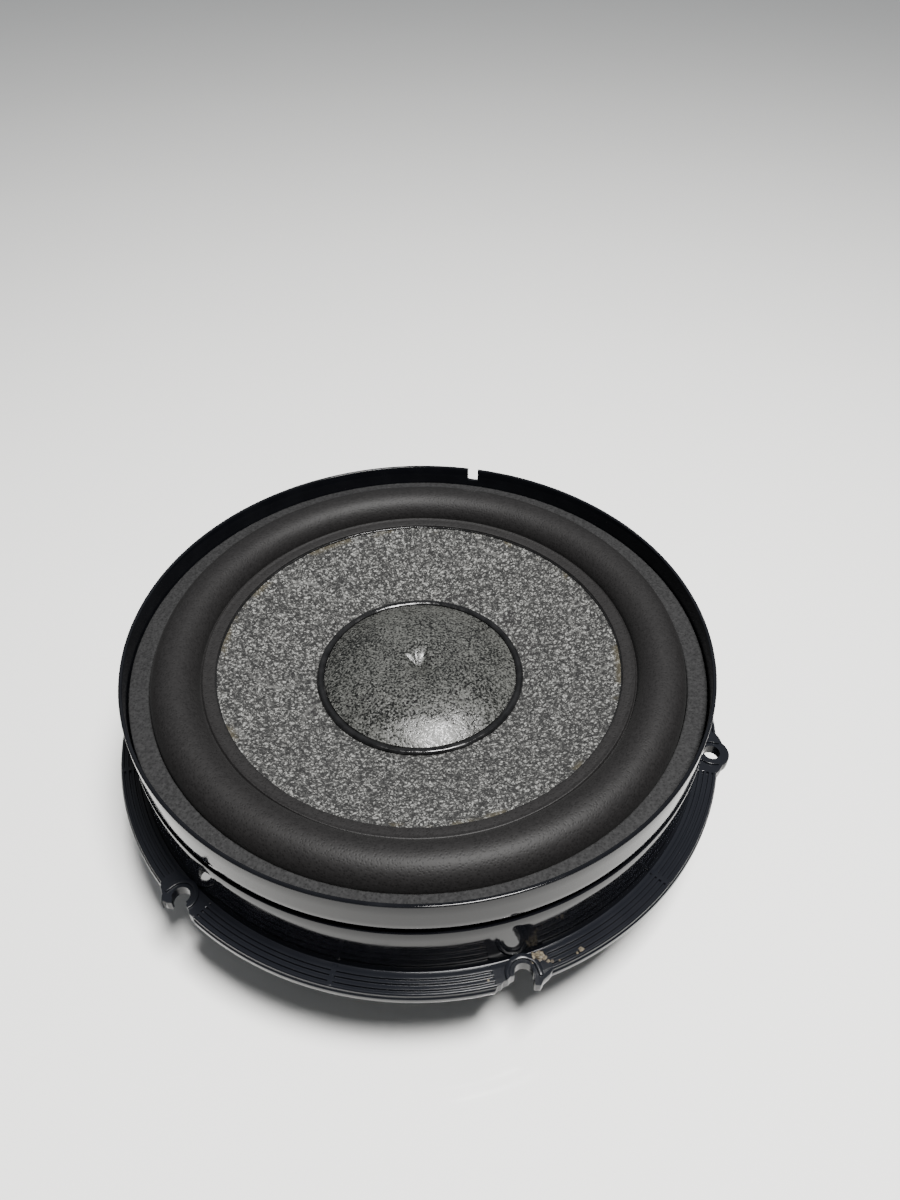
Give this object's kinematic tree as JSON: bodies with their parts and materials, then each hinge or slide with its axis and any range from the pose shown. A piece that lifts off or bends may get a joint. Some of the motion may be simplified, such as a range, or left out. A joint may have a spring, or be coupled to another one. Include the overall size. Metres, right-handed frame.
{
  "type": "car door subwoofer speaker",
  "caption": "Round shallow car subwoofer with a drum-shaped plastic basket, riveting flange, foam roll surround, grey felt cone, dimpled dust cap and ring-magnet motor.",
  "frame": {"origin": "centre of the flat rear face of the motor's yoke, on which the speaker lies", "axes": "+Z along the speaker's axis towards the listener; the electrical connector is at +Y under the flange"},
  "size_m": [0.2212, 0.2196, 0.0758],
  "materials": {
    "drum_plastic": "gloss black moulded, faint blue cast",
    "gasket_foam": "dry open-cell foam, charcoal",
    "roll_foam": "dry matt foam, dark charcoal",
    "seal_foam": "dry foam, near black",
    "cone_felt": "matt grey fibre felt with dark specks",
    "cap_fibre": "lacquered fibre, semi-gloss, mottled dark grey",
    "black_adhesive": "cured glossy adhesive",
    "former_film": "amber film",
    "coil_wire": "lacquered copper wire",
    "spider_cloth": "resin-dipped woven cloth, tan",
    "plated_steel": "zinc-plated, satin",
    "ferrite": "ground ceramic magnet, matt",
    "connector_plastic": "satin moulded",
    "tinned_brass": "tin-plated",
    "tinsel": "braided tinsel wire"
  },
  "bodies": {
    "chassis": {"basket": "drum_plastic", "front_ring": "drum_plastic", "foam_gasket": "gasket_foam", "rear_seal": "seal_foam", "surround": "roll_foam", "spider": "spider_cloth", "yoke": "plated_steel", "magnet_ring": "ferrite", "top_plate": "plated_steel", "motor_screw_1": "plated_steel", "motor_screw_2": "plated_steel", "motor_screw_3": "plated_steel", "motor_screw_4": "plated_steel", "terminal_block": "connector_plastic", "terminal_screw_1": "plated_steel", "terminal_blade_1": "tinned_brass", "tinsel_lead_1": "tinsel", "terminal_screw_2": "plated_steel", "terminal_blade_2": "tinned_brass", "tinsel_lead_2": "tinsel"},
    "diaphragm": {"cone": "cone_felt", "dust_cap_ring": "black_adhesive", "dust_cap": "cap_fibre", "coil_former": "former_film", "coil_winding": "coil_wire", "neck_bead": "black_adhesive", "lead_dab_1": "black_adhesive", "lead_dab_2": "black_adhesive"}
  },
  "joints": [
    {"name": "cone_travel", "type": "slide", "parent": "chassis", "child": "diaphragm", "axis": [0, 0, 1], "range_m": [-0.005, 0.005], "stiffness_N_per_m": 2000, "deforming": ["surround", "spider", "tinsel_lead_1", "tinsel_lead_2"]}
  ]
}
